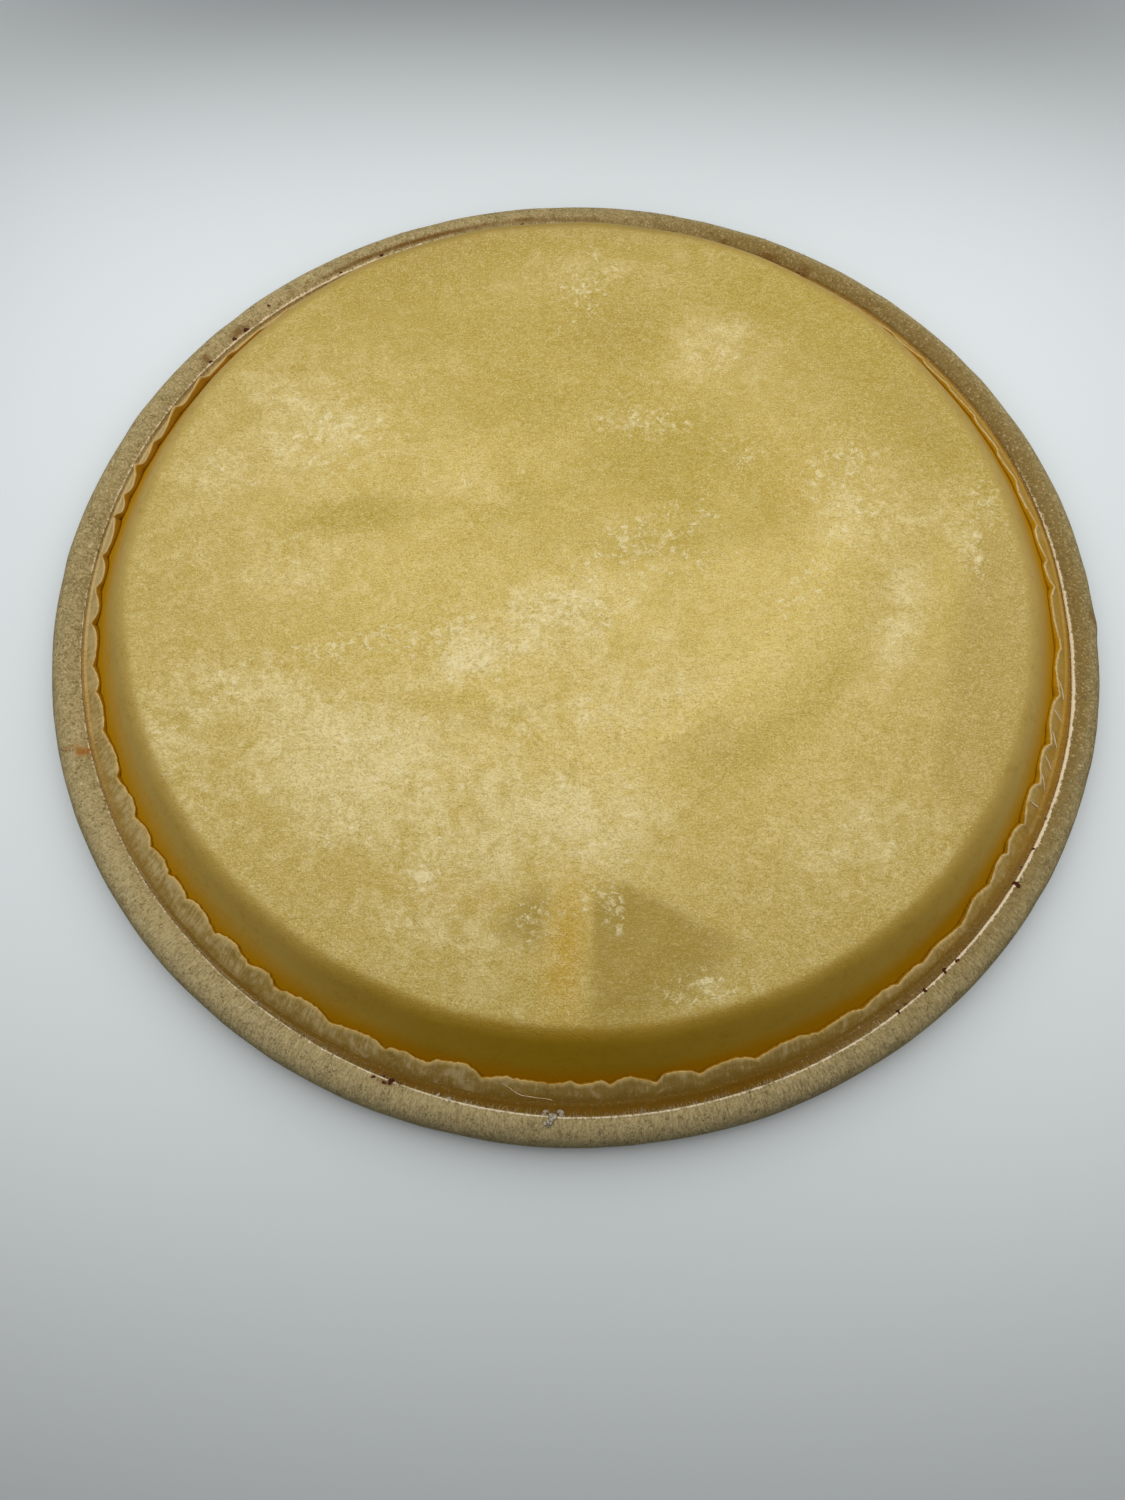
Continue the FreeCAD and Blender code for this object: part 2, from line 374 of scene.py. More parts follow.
hoopRoll = {
    "around": 1440,
    "outerFrom": -30,          # degrees up the roll where its outside begins
    "underRings": 6,
    "outerRings": 21,
    "topRings": 23,
    "innerRings": 9,
    "endStep": 0.002,          # the last ring but one is this close to the crease, in radians
    "endFade": 0.06,           # the lift fades out over this, in radians
    # where the worn line runs, in degrees up the roll from its outside, by degrees round the axis
    "ridgeAt": [
        (0, 139), (45, 138), (90, 136), (104, 139), (120, 139), (132, 137), (150, 136), (180, 138),
        (205, 138), (225, 136), (237, 131), (250, 121), (270, 107), (290, 108), (315, 118), (331, 121),
        (344, 126), (352, 134), (360, 139),
    ],
    "ridgeHigh": 0.00030,
    # half width of the worn line in mm, by degrees round the axis
    "ridgeWide": [
        (0, 0.75), (25, 0.4), (90, 0.5), (130, 0.55), (150, 0.36), (235, 0.3), (290, 0.28), (318, 0.5),
        (335, 0.7), (360, 0.75),
    ],
    "ridgeBack": 0.0005,       # the worn line's colour ends this far past its crest
    "grooveDeep": 0.00025,     # between the worn line and the tail
    "grooveSlope": 0.0008,     # width over which it falls
    "lumps": 0.00013,
    "lumpsFrom": (-60, -10),   # degrees up the roll over which they come in
    "weldAt": 358.0,
    "weldBulge": 0.0005,
    "weldHalf": 1.3,           # half width in degrees round the axis
    "weldUp": (0.3, 0.8),      # middle and half width up the roll, in radians
    "splitAt": 200.7,          # a short crease across the roll
    "splitDeep": 0.0003,
    "splitHalf": 0.3,
    "splitUp": (0.2, 0.6),     # it comes in between these, in radians up the roll
    # how plainly the worn line shows, by degrees round the axis
    "ridgeShows": [
        (0, 1.0), (15, 0.6), (25, 0.0), (88, 0.0), (94, 0.5), (110, 0.75), (132, 0.75), (150, 0.6),
        (175, 0.5), (200, 0.5), (235, 0.6), (258, 0.75), (285, 0.75), (300, 0.75), (318, 1.0),
        (345, 1.0), (360, 1.0),
    ],
    "drawnUp": (0.5, 1.0),     # middle and half width of the drawn hide, as for the weld
    # how much thinner the hide is drawn over the outside of the hoop, in mm by degrees round the axis
    "drawn": [
        (0, 0.45), (10, 0.3), (20, 0.25), (40, 0.25), (75, 0.6), (110, 0.6), (150, 0.25), (185, 0.2),
        (197, 0.25), (210, 0.2), (225, 0.25), (320, 0.25), (350, 0.3), (356, 0.45), (360, 0.45),
    ],
    # stains: degrees round the axis, half width in degrees, first and last degree up the roll, strength
    "stains": [
        (140, 1.5, 104, 126, 0.8), (145.6, 0.5, 98, 126, 0.9), (112, 11, 115, 126, 1.0),
        (121, 5, 116, 124, 0.9), (92, 6, 118, 130, 0.5), (98, 1.6, 112, 122, 0.8),
        (59.5, 0.7, 108, 150, 0.8), (64.5, 1.5, 120, 150, 0.8), (71, 0.4, 120, 150, 0.7),
        (252.3, 0.8, 106, 124, 0.8), (358.8, 1.1, 10, 75, 0.5),
    ],
    # short gold stains in the same form
    "gold": [(201.4, 0.55, 100, 142, 1.0), (200.6, 0.2, 60, 110, 0.6)],
    # how much painted shade falls in the groove between the worn line and the tail, by degrees round the
    # axis
    "grooveShade": [
        (0, 0.75), (30, 0.6), (60, 0.6), (90, 0.5), (130, 0.25), (165, 0.2), (185, 0.4), (197, 0.8),
        (212, 0.6), (235, 0.6), (252, 0.95), (290, 1.0), (305, 0.7), (325, 0.7), (340, 0.85),
        (360, 0.75),
    ],
    # how pale the roll is, by degrees round the axis
    "rollPale": [
        (0, 0.15), (45, 0.45), (90, 0.5), (135, 0.7), (180, 0.5), (215, 1.0), (240, 1.05), (270, 1.0),
        (300, 0.7), (320, 0.4), (345, 0.2), (360, 0.15),
    ],
    # how burnished the inner side of the roll is, by degrees round the axis
    "burnish": [
        (0, 1.0), (14, 0.9), (22, 0.9), (70, 1.0), (85, 0.4), (95, 0.1), (170, 0.15), (190, 0.1),
        (300, 0.15), (320, 0.5), (340, 1.0), (360, 1.0),
    ],
}


def ridgeLine(theta, p):
    # the worn line's angle up the roll, with a little wander
    return np.radians(readRound(theta, p["ridgeAt"]) + 1.2 * ringNoise(theta, 3, 14, 21))


def bandUp(phi, band):
    # a bell up the roll, from its middle and half width
    return bell(phi - band[0], band[1])


def rollLift(theta, phi, p, sec):
    # height over the plain round wrap: noise, the weld's bulge, a split, the raised worn line and the
    # groove past it, with how much of the place is worn line and how much is groove
    ridge = ridgeLine(theta, p)
    shows = readRound(theta, p["ridgeShows"])
    twisted = np.sin(3 * phi + 9 * theta) * ringNoise(theta, 8, 90, 33)
    swell = p["lumps"] * (ringNoise(theta, 3, 60, 31) + 0.7 * twisted)
    atWeld = bell(turnGap(theta, p["weldAt"]), np.radians(p["weldHalf"]))
    atSplit = bell(turnGap(theta, p["splitAt"]), np.radians(p["splitHalf"]))
    swell = swell + p["weldBulge"] * atWeld * bandUp(phi, p["weldUp"])
    swell = swell - p["splitDeep"] * atSplit * ease(phi, *p["splitUp"])
    past = (phi - ridge) * sec["wrapOut"]
    onRidge = bell(past, readRound(theta, p["ridgeWide"]) * mm)
    worn = ease(past, 0.0, p["grooveSlope"])
    lift = ease(phi, *np.radians(p["lumpsFrom"])) * swell * (1 - worn)
    lift = lift + p["ridgeHigh"] * onRidge * (0.3 + 0.7 * shows) - p["grooveDeep"] * worn
    lift = lift - readRound(theta, p["drawn"]) * mm * bandUp(phi, p["drawnUp"])
    seen = onRidge * shows * ease(-past, -p["ridgeBack"], 0.0)
    return lift * ease(sec["creaseAngle"] - phi, 0.0, p["endFade"]), seen, worn


def stainSum(theta, phi, stains):
    # union of soft marks, each a bell round the axis and an even run up the roll with soft ends
    left = np.ones(np.broadcast(theta, phi).shape)
    for at, half, first, last, strength in stains:
        begun = ease(phi, np.radians(first - 8), np.radians(first + 4))
        ended = ease(phi, np.radians(last - 4), np.radians(last + 6))
        left *= 1 - strength * bell(turnGap(theta, at), np.radians(half)) * begun * (1 - ended)
    return 1 - left


def buildHoopRoll(p, sec):
    # a closed section carried round the axis: the wrap's outside with its lift, then its face by the rod
    theta = evenTurn(p["around"])
    low, top, end = np.radians(p["outerFrom"]), np.pi / 2, sec["creaseAngle"]
    angles = np.concatenate([np.linspace(sec["footAngle"], low, p["underRings"])[:-1],
                             np.linspace(low, top, p["outerRings"])[:-1],
                             np.linspace(top, end - p["endStep"], p["topRings"]),
                             [end]])
    phi = angles[:, None]
    lift, onRidge, worn = rollLift(theta, phi, p, sec)
    outerR = sec["hoop"][0] + (sec["wrapOut"] + lift) * np.cos(phi)
    outerZ = sec["hoop"][1] + (sec["wrapOut"] + lift) * np.sin(phi)
    back = arcRun(sec["hoop"], sec["wrapIn"], end, sec["footAngle"], p["innerRings"])
    r = np.concatenate([outerR, back[:, :1] + 0 * theta])
    z = np.concatenate([outerZ, back[:, 1:] + 0 * theta])
    rows, cols = r.shape
    outer = slice(0, len(angles))
    crest, groove, stain, gold = np.zeros((4, rows, cols))
    upRoll = np.full((rows, cols), -2.0)     # the face by the rod counts as far below
    crest[outer] = onRidge
    groove[outer] = worn
    stain[outer] = stainSum(theta, phi, p["stains"])
    gold[outer] = stainSum(theta, phi, p["gold"])
    upRoll[outer] = np.degrees(phi) / 90
    along = np.concatenate([angles, np.zeros(len(back))])[:, None] * sec["wrapOut"]
    masks = {"ring": ringPlace(sec["hoop"][0], theta, along),
             "crest": crest, "groove": groove, "stain": stain, "gold": gold, "upRoll": upRoll,
             **roundMasks(theta, p, ("burnish", "rollPale", "grooveShade"), (rows, cols))}
    return putMesh("hoop_roll", turnSection(r, z, theta), [ringFaces(rows, cols, True)[:, ::-1]], masks)


# Tail: the trimmed end of the hide, from the crease beside the roll up the collar

trimTail = {
    "around": 2000,
    "creaseRings": 7,
    "frontRings": 14,
    "creaseBackRings": 5,
    "endStep": 0.02,           # the second ring is this close to the roll, in radians
    # the trimmed edge's height along the collar and its lobes' depth, in mm by degrees round the axis
    "high": [
        (0, 7.0), (10, 5.8), (40, 6.2), (70, 6.8), (140, 6.8), (160, 6.2), (170, 4.9), (180, 5.4),
        (190, 5.8), (200, 6.9), (210, 7.3), (230, 7.4), (240, 6.9), (250, 6.1), (255.6, 6.0),
        (256.5, 7.4), (260.7, 7.3), (261.5, 5.8), (270, 6.0), (280, 6.5), (290, 5.8), (300, 4.6),
        (310, 3.9), (316, 4.0), (322, 5.4), (330, 7.0), (340, 7.4), (350, 6.4), (360, 7.0),
    ],
    "lobeDeep": [
        (0, 1.8), (40, 1.8), (140, 2.6), (165, 3.2), (182, 3.0), (192, 2.2), (203, 1.5), (212, 2.0),
        (235, 2.0), (245, 1.6), (262, 1.4), (266, 0.8), (273.5, 0.9), (275.5, 3.0), (284, 2.6),
        (296, 1.4), (308, 1.2), (320, 2.4), (335, 2.4), (350, 1.8), (360, 1.8),
    ],
    # how far the edge stands off the collar in the lobes' middles and at the notches, in the same form
    "bulge": [
        (0, 0.3), (20, 0.3), (40, 0.1), (137, 0.15), (147, 1.1), (154, 1.6), (165, 1.2), (178, 0.6),
        (190, 0.3), (205, 0.1), (225, 0.3), (250, 0.3), (272, 0.4), (290, 0.3), (315, 0.2), (340, 0.2),
        (360, 0.3),
    ],
    "ruffle": [
        (0, 1.5), (15, 1.4), (40, 1.0), (136, 1.0), (146, 2.2), (154, 3.4), (165, 3.2), (176, 2.6),
        (190, 1.5), (205, 1.0), (222, 0.8), (245, 0.4), (290, 0.4), (312, 0.7), (325, 1.2), (345, 1.7),
        (360, 1.5),
    ],
    "flutePower": 1.4,         # how late up the tail it starts to stand off
    "ripple": 0.00006,
    "ragged": (0.16, 0.08),    # coarse and fine unevenness of the trimmed edge in mm
    "creaseFill": 0.00028,     # how far the floor of the crease has filled
    "tipThick": 0.00065,
    "taperPower": 1.3,         # how late up the tail it thins
    "cutFade": (-0.0015, -0.0004),  # the cut lip's colour comes in between these, measured from the edge
    # lip, and clear web behind it: share of the tail's length, mm off the tip's front, share of the flute
    "lip": [(0.965, 0.0, 1), (0.99, -0.06, 1), (1.0, -0.2, 1)],
    "web": [(1.003, -0.3, 0.7), (1.004, -0.55, 0.35), (0.99, -0.77, 0)],
    "backShares": (0.75, 0.4),
    # notches of the trimmed edge in degrees round the axis, the front is at 270
    "notches": [
        2.0, 5.7, 10.8, 17.4, 22.5, 28.2, 34.0, 38.7, 44.0, 49.8, 54.1, 59.6, 65.2, 69.3, 75.0, 80.2,
        86.1, 91.0, 96.6, 100.8, 106.5, 112.3, 117.0, 122.9, 127.4, 133.0, 138.2, 143.6, 148.5, 153.9,
        159.6, 163.5, 167.7, 170.7, 176.4, 180.8, 185.5, 191.4, 194.9, 199.9, 206.4, 211.6, 215.9,
        219.8, 223.3, 228.6, 233.7, 237.3, 244.4, 251.2, 255.9, 261.6, 268.4, 271.2, 274.7, 279.5,
        284.1, 289.9, 297.3, 302.6, 307.3, 311.0, 316.9, 322.8, 326.8, 330.8, 336.2, 341.2, 347.7,
        353.8,
    ],
    # how amber and clear the tail is, by degrees round the axis
    "clear": [
        (0, 1.0), (30, 0.9), (50, 0.3), (140, 0.1), (200, 0.1), (295, 0.1), (312, 0.4), (335, 0.9),
        (360, 1.0),
    ],
    # how pale the tail is, by degrees round the axis; where it is pale, less painted shade falls at the
    # root
    "tailPale": [
        (0, 0.6), (20, 0.5), (40, 0.45), (60, 0.6), (85, 0.85), (120, 0.8), (145, 0.85), (165, 1.0),
        (172, 1.0), (184, 0.9), (195, 0.6), (208, 0.5), (225, 0.5), (250, 0.3), (270, 0.15), (295, 0.2),
        (320, 0.4), (340, 0.6), (360, 0.6),
    ],
}


def lobeEdge(theta, p):
    # height of the trimmed edge: the mean height with a round lobe over each pitch and a sharp notch
    # between lobes, and how far across its lobe each angle lies, from -1 to 1
    rng = np.random.default_rng(11)
    notch = np.radians(np.array(p["notches"] + [p["notches"][0] + 360]))
    pitch = np.diff(notch)
    turned = (theta - notch[0]) % tau + notch[0]
    k = np.clip(np.searchsorted(notch, turned, side="right") - 1, 0, len(pitch) - 1)
    across = 2 * (turned - notch[k]) / pitch[k] - 1
    lean = rng.uniform(-0.4, 0.4, len(pitch))[k] * (1 - across ** 2)
    power = rng.uniform(1.5, 2.8, len(pitch))[k]
    own = rng.uniform(0.8, 1.15, len(pitch)) * np.clip(pitch / pitch.mean(), 0.6, 1.2)
    deep = readRound(theta, p["lobeDeep"]) * own[k]
    lobe = 1 - np.abs(across + lean) ** power - power / (power + 1)
    coarse, fine = p["ragged"]
    ragged = coarse * ringNoise(theta, 70, 300, 3) + fine * ringNoise(theta, 300, 700, 4)
    ragged = ragged * (1 + bell(turnGap(theta, 270), 0.9))
    return (readRound(theta, p["high"]) + deep * lobe + ragged) * mm, across


def tailFlute(theta, across, p):
    # how far the edge stands off the collar: a round bulge over each lobe and a ruffle up to each notch
    middle = readRound(theta, p["bulge"]) * (1 - np.abs(across) ** 1.6)
    ends = readRound(theta, p["ruffle"]) * np.abs(across - 0.3 * (1 - across ** 2)) ** 2.6
    return (middle + ends) * mm * (0.8 + 0.3 * ringNoise(theta, 20, 70, 41))


def buildTrimTail(p, h, sec):
    # a closed section carried round the axis: crease, front of the tail, lip, the clear web behind the
    # lip, back of the tail and the crease's far face; the tail is as long as the trimmed edge and its
    # front stands off in round flutes
    theta = evenTurn(p["around"])
    edge, across = lobeEdge(theta, p)
    crease, start, end = sec["crease"], sec["creaseAngle"] - np.pi, sec["footAngle"]
    flute = tailFlute(theta, across, p)

    def turned(run):
        return run[:, :1] + 0 * theta, run[:, 1:] + 0 * theta

    def tailRun(share, offset, follows):
        share = np.asarray(share)[:, None]
        stand = flute + p["ripple"] * (1 + ringNoise(theta, 150, 420, 43))
        off = np.asarray(offset)[:, None] + np.asarray(follows)[:, None] * share ** p["flutePower"] * stand
        return tailPlace(sec, share * edge, off)

    def listedRun(places):
        share, off, follows = np.array(places).T
        return tailRun(share, tip + off * mm, follows)

    back = -(h["creaseBend"] + h["thick"])
    front = -h["creaseBend"]
    tip = back + p["tipThick"]
    shares = np.linspace(0, 1, p["frontRings"])[1:-1]
    justPast = start + p["endStep"] * np.sign(end - start)
    floor = arcRun(crease, h["creaseBend"], justPast, end, p["creaseRings"])
    floor[:, 1] += p["creaseFill"] * np.sin(np.linspace(0, np.pi, len(floor)))
    creaseFront = turned(np.concatenate([arcRun(crease, h["creaseBend"], start, start, 1), floor]))
    tailFront = tailRun(shares, front + (tip - front) * shares ** p["taperPower"], np.ones(len(shares)))
    tailBack = tailRun(p["backShares"], np.full(2, back), [0, 0])
    creaseBack = turned(arcRun(crease, h["creaseBend"] + h["thick"], end, start, p["creaseBackRings"]))
    parts = [creaseFront, tailFront, listedRun(p["lip"]), listedRun(p["web"]), tailBack, creaseBack]
    r = np.concatenate([q[0] for q in parts])
    z = np.concatenate([q[1] for q in parts])
    r = r + bowAt(theta, z, h)
    rows, cols = r.shape
    counts = np.cumsum([len(q[0]) for q in parts])
    onFront, onLip, onWeb = (slice(counts[i], counts[i + 1]) for i in range(3))
    up, cutEdge, inWeb = np.zeros((3, rows, cols))
    up[onFront] = shares[:, None]
    cutEdge[onFront] = ease((shares[:, None] - 1) * edge, *p["cutFade"])
    up[onLip] = cutEdge[onLip] = 1
    inWeb[onWeb] = 1
    along = np.concatenate([[0], np.cumsum(np.hypot(np.diff(r.mean(1)), np.diff(z.mean(1))))])
    masks = {"ring": ringPlace(crease[0], theta, along[:, None]),
             "up": up, "cutEdge": cutEdge, "web": inWeb,
             "across": np.broadcast_to(np.abs(across), (rows, cols)),
             **roundMasks(theta, p, ("clear", "tailPale"), (rows, cols))}
    return putMesh("trim_tail", turnSection(r, z, theta), [ringFaces(rows, cols, True)[:, ::-1]], masks)


# Fuzz: short fibres of the flesh side that stand along the worn line and lie across the roll

rimFuzz = {
    "count": 5200,
    "lengths": (0.0008, 0.0026),
    "radius": 0.00004,
    "sunk": 0.0002,            # how deep the roots lie in the plain roll
    "rise": (0.05, 0.4),       # how steeply they leave it, over their length
    "standShare": 0.35,        # of the fibres, those that stand on the worn line
    "standSpread": 4,          # how far below it, in degrees
    "lieReach": 70,            # how far below it the others lie, in degrees
    # where the fibres grow, by degrees round the axis
    "grows": [
        (0, 0.5), (30, 0.4), (60, 0.3), (150, 0.25), (190, 0.5), (235, 1.0), (262, 1.6), (292, 1.6),
        (310, 1.0), (360, 0.5),
    ],
}


def buildRimFuzz(p, rollSizes, sec):
    # each fibre is a bowed three-sided spike from a place on the roll, leaning inwards and to one side
    rng = np.random.default_rng(71)
    turn, weight = np.array(p["grows"]).T
    fine = np.linspace(0, 360, 3601)
    chance = np.cumsum(np.interp(fine, turn, weight))
    theta = np.radians(np.interp(rng.uniform(chance[0], chance[-1], p["count"]), chance, fine))
    ridge = ridgeLine(theta, rollSizes)
    length = rng.uniform(*p["lengths"], p["count"])[:, None]
    standing = rng.random(p["count"]) < p["standShare"]
    close = np.abs(rng.normal(0, p["standSpread"], p["count"]))
    below = np.where(standing, close, rng.uniform(0, p["lieReach"], p["count"]))
    phi = ridge - np.radians(below) - np.where(standing, 0, length[:, 0] / sec["wrapOut"])
    outward, around = axesAt(theta)
    normal = np.cos(phi)[:, None] * outward + np.sin(phi)[:, None] * upward
    inward = -np.sin(phi)[:, None] * outward + np.cos(phi)[:, None] * upward
    root = sec["hoop"][0] * outward + sec["hoop"][1] * upward + (sec["wrapOut"] - p["sunk"]) * normal
    rise = rng.uniform(*p["rise"], p["count"]) * np.clip(np.sin(phi), 0, 1)
    lean = inward + rise[:, None] * normal + rng.normal(0, 0.5, p["count"])[:, None] * around
    middle = root + 0.5 * length * lean + 0.06 * length * normal
    sideways = rng.normal(0, 0.25, p["count"])[:, None]
    tip = root + length * (lean - 0.12 * normal + sideways * around)
    corner = evenTurn(3)
    spread = np.cos(corner)[:, None, None] * around + np.sin(corner)[:, None, None] * normal
    points = np.concatenate([root + p["radius"] * spread, middle + 0.7 * p["radius"] * spread, tip[None]])
    k = np.arange(p["count"])[:, None]
    n = p["count"]
    low, top = np.array([0, 1, 2]) * n, np.array([3, 4, 5]) * n
    quads = np.stack([k + low, k + np.roll(low, -1), k + np.roll(top, -1), k + top], -1).reshape(-1, 4)
    spikes = np.stack([k + top, k + np.roll(top, -1), k + 6 * n + 0 * top], -1).reshape(-1, 3)
    roots = np.stack([k + low[2], k + low[1], k + low[0]], -1).reshape(-1, 3)
    return putMesh("rim_fuzz", points.reshape(-1, 3), [quads, np.concatenate([spikes, roots])], {})


# Strands: single hairs, pale folds and a loose fibre that lie on the tail

tailStrands = {
    # places along each strand as degrees round the axis and mm up the tail, then its radius in mm
    "lines": [
        ([(334.1, 0.8), (333.8, 3.4), (333.6, 6.7)], 0.28),
        ([(336.2, 0.8), (336.8, 3.6), (337.2, 6.7)], 0.28),
        ([(339.0, 0.6), (339.3, 3.4), (339.6, 6.9)], 0.30),
        ([(341.8, 0.6), (342.2, 3.4), (342.8, 6.9)], 0.30),
        ([(345.2, 0.8), (345.4, 3.4), (345.7, 6.4)], 0.26),
        ([(347.9, 0.6), (348.7, 3.2), (349.3, 6.4)], 0.30),
        ([(263.6, 4.8), (264.6, 3.2), (265.6, 1.3), (266.3, 1.5), (267.2, 1.0), (268.4, 1.2),
          (269.0, 0.4)], 0.12),
        ([(200.5, 0.2), (200.7, 1.8)], 0.24),
    ],
    "sides": 6,
    "steps": 16,
}


def buildTailStrands(p, tail, h, sec):
    # a round thread carried along a smooth line through the given places, part sunk in the tail's front
    t = np.linspace(0, 1, p["steps"])
    corner = evenTurn(p["sides"])
    points, faces, used = [], [], 0
    for places, radius in p["lines"]:
        deg, high = np.array(places).T
        knots = np.linspace(0, 1, len(deg))
        soft = np.clip(t[:, None] + np.linspace(-0.1, 0.1, 9), 0, 1)
        theta = np.radians(np.interp(soft, knots, deg).mean(1))
        along = np.interp(soft, knots, high).mean(1) * mm
        edge, across = lobeEdge(theta, tail)
        share = np.clip(along / edge, 0, 1)
        off = -h["creaseBend"] - (h["thick"] - tail["tipThick"]) * share ** tail["taperPower"]
        off = off + share ** tail["flutePower"] * (tailFlute(theta, across, tail) + tail["ripple"])
        r, z = tailPlace(sec, along, off + 0.5 * radius * mm)
        r = r + bowAt(theta, z, h)
        wide = radius * mm * (0.35 + 0.65 * np.sin(np.pi * (0.08 + 0.84 * t)))
        outward, around = axesAt(theta)
        offward = sec["offCollar"][0] * outward + sec["offCollar"][1] * upward
        centre = r[:, None] * outward + z[:, None] * upward
        spoke = np.cos(corner)[:, None] * around[:, None] + np.sin(corner)[:, None] * offward[:, None]
        points.append((centre[:, None] + wide[:, None, None] * spoke).reshape(-1, 3))
        faces.append(used + ringFaces(p["steps"], p["sides"], False))
        used += p["steps"] * p["sides"]
    ends = np.arange(len(p["lines"]))[:, None] * p["steps"] * p["sides"]
    first = ends + np.arange(p["sides"])[::-1]
    last = ends + (p["steps"] - 1) * p["sides"] + np.arange(p["sides"])
    caps = np.concatenate([first, last])
    return putMesh("tail_strands", np.concatenate(points), [np.concatenate(faces), caps], {})


# Rust spots that have come through beside the worn line, and torn scraps of hide

rimSpots = {
    # degrees round the axis, degrees up the roll from the worn line, half width in mm
    "rust": [
        (305.5, 2, 0.55), (306.7, 7, 0.45), (309.1, 0, 0.6), (310.5, 5, 0.4), (312.1, 2, 0.75),
        (313.8, -3, 0.6), (324.6, -5, 1.0), (326.7, 8, 0.45), (329.1, 0, 0.4), (252.8, 0, 0.9),
        (251.8, 5, 0.7), (251.0, -6, 0.55), (253.6, 4, 0.5), (252.2, -10, 0.5), (139, -8, 0.9),
        (141, -8, 0.8), (145.5, -5, 0.6), (60.2, 8, 0.7), (64, 8, 0.8), (66, 8, 0.8), (71, 8, 0.6),
        (118, -9, 0.6), (124, -8, 0.5), (262.5, 3, 0.35), (218.4, 2, 0.3), (333, 2, 0.3),
        (98.5, -4, 0.6), (134.6, -30, 0.5),
    ],
    "scrap": [
        (268.9, -4, 1.5), (269.8, 12, 1.2), (268.2, 12, 0.9), (268.5, -18, 0.9), (236.6, 6, 0.6),
        (257.6, 5, 0.7), (258.8, 3, 0.6),
    ],
    "rustHigh": 0.16,          # height over half width
    "scrapHigh": 0.45,
    "proud": 0.00002,          # how far a dome's rim stands over the roll
    "sunk": 0.0002,            # how deep its foot goes
    "around": 12,
    "rings": 5,
}


def buildSpots(name, spots, flat, seed, p, rollSizes, sec):
    # each spot is a low dome on the roll: rings about its middle, with a wavy outline, a top and a foot
    rng = np.random.default_rng(seed)
    turn = evenTurn(p["around"])
    share = np.linspace(0, 1, p["rings"] + 1)[1:]
    points, faces, used = [], [], 0
    ringCount = p["rings"] * p["around"]
    j = np.arange(p["around"])
    for at, up, wide in spots:
        theta = np.radians(at)
        phi = ridgeLine(np.array([theta]), rollSizes)[0] + np.radians(up)
        out, side = axesAt(theta)
        normal = np.cos(phi) * out + np.sin(phi) * upward
        inward = np.cross(side, normal)
        twice = 0.3 * np.cos(2 * turn + rng.uniform(0, tau))
        thrice = 0.2 * np.cos(3 * turn + rng.uniform(0, tau))
        reach = wide * mm * (1 + twice + thrice)
        flatWay = np.cos(turn)[:, None] * side + np.sin(turn)[:, None] * inward
        dome = flat * wide * mm * np.sqrt(1 - 0.98 * share ** 2)
        lift = rollLift(np.array([theta]), phi, rollSizes, sec)[0][0]
        high = sec["wrapOut"] + lift + p["proud"]
        middle = sec["hoop"][0] * out + sec["hoop"][1] * upward + high * normal
        rings = middle + share[:, None, None] * reach[:, None] * flatWay + dome[:, None, None] * normal
        ends = np.stack([middle + flat * wide * mm * normal, middle - p["sunk"] * normal])
        points.append(np.concatenate([rings.reshape(-1, 3), ends]))
        cap = np.stack([np.full(p["around"], ringCount), j, (j + 1) % p["around"]], 1)
        rim = (p["rings"] - 1) * p["around"]
        foot = np.stack([rim + (j + 1) % p["around"], rim + j, np.full(p["around"], ringCount + 1)], 1)
        faces.append((used + ringFaces(p["rings"], p["around"], False), used + cap, used + foot))
        used += ringCount + 2
    quads = np.concatenate([f[0] for f in faces])
    tris = np.concatenate([np.concatenate(f[1:]) for f in faces])
    return putMesh(name, np.concatenate(points), [quads, tris], {})


face = buildPlayingFace(playingFace, hide, section)
roll = buildHoopRoll(hoopRoll, section)
tail = buildTrimTail(trimTail, hide, section)
fuzz = buildRimFuzz(rimFuzz, hoopRoll, section)
strands = buildTailStrands(tailStrands, trimTail, hide, section)
rust = buildSpots("rust_spots", rimSpots["rust"], rimSpots["rustHigh"], 81, rimSpots, hoopRoll, section)
scrap = buildSpots("hide_scrap", rimSpots["scrap"], rimSpots["scrapHigh"], 83, rimSpots, hoopRoll, section)
hidePieces = (face, roll, tail, fuzz, strands, rust, scrap)
for piece in hidePieces:
    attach(piece, "root")
    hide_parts("rawhide_skin")
print("hide built:", ", ".join(f"{q.name} {len(q.data.polygons)} faces" for q in hidePieces))


# Finishes

class Sock:
    # one value among the nodes of a material or the sky, with Python's operators

    def __init__(self, nodes, socket):
        self.nodes = nodes
        self.socket = socket

    def calc(self, operation, *others):
        return self.nodes.node("ShaderNodeMath", {"operation": operation}, dict(enumerate((self, *others))))

    def __add__(self, other):
        return self.calc("ADD", other)

    def __sub__(self, other):
        return self.calc("SUBTRACT", other)

    def __mul__(self, other):
        return self.calc("MULTIPLY", other)

    def __truediv__(self, other):
        return self.calc("DIVIDE", other)

    def __rsub__(self, other):
        return self.nodes.node("ShaderNodeMath", {"operation": "SUBTRACT"}, {0: other, 1: self})

    __radd__ = __add__
    __rmul__ = __mul__

    def ease(self, low, high):
        return self.nodes.node("ShaderNodeMapRange", {"interpolation_type": "SMOOTHSTEP"},
                               {"Value": self, "From Min": low, "From Max": high})

    def most(self, other):
        return self.calc("MAXIMUM", other)


